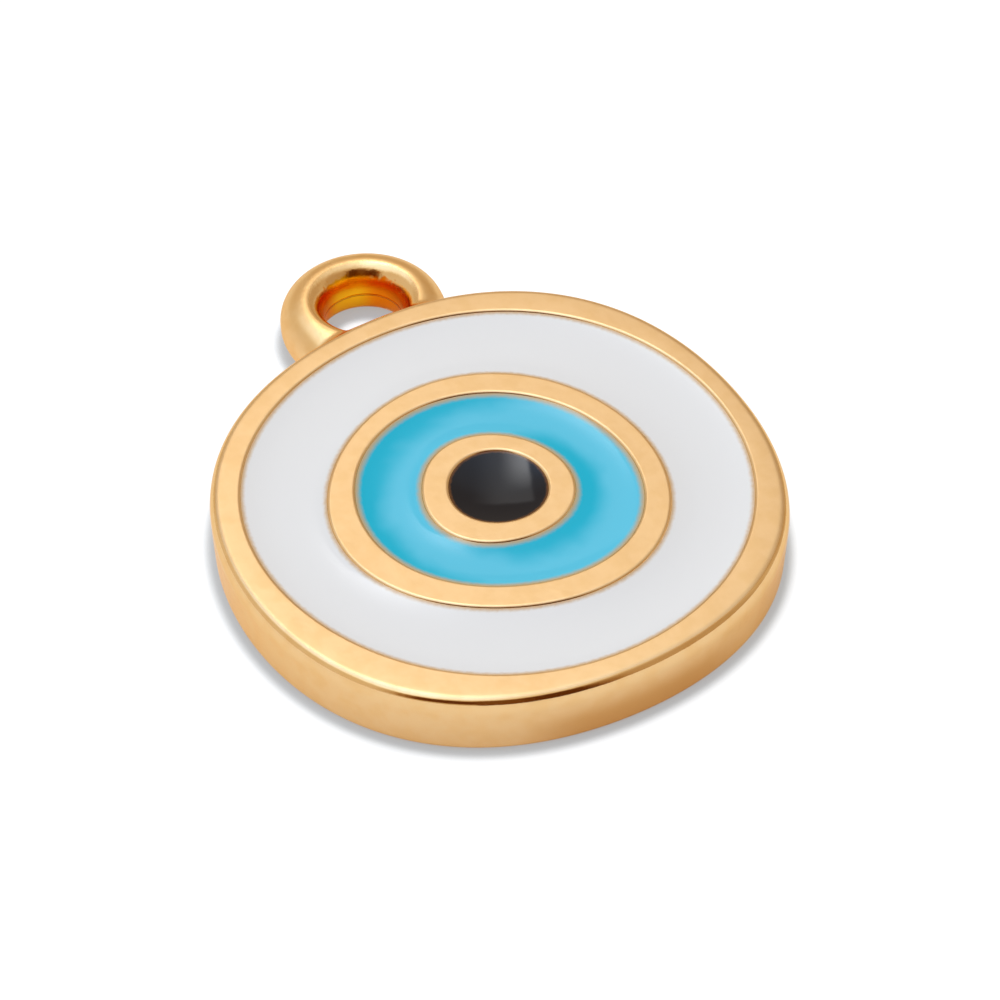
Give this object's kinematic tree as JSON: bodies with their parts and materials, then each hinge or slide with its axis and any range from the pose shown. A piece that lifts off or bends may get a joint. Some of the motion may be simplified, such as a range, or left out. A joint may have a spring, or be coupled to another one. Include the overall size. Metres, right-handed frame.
{
  "type": "enamelled eye pendant",
  "caption": "Round cast pendant lying on its flat back: concentric enamel rings and a dark pupil between raised metal rims, with a small flat hanging loop at the rim.",
  "frame": {"origin": "middle of the disc's flat back face", "axes": "+Y from the disc's middle to the hanging loop, +Z out of the enamelled face, +X to the right seen from the front"},
  "size_m": [0.014, 0.0169, 0.0018],
  "materials": {
    "gilded_casting": "gold plated, satin tops and polished edges",
    "white_enamel": "gloss",
    "turquoise_enamel": "gloss, slightly streaked",
    "black_enamel": "gloss"
  },
  "bodies": {
    "root": {"cast_body": "gilded_casting", "white_enamel_ring": "white_enamel", "turquoise_enamel_ring": "turquoise_enamel", "black_enamel_pupil": "black_enamel"}
  },
  "joints": []
}
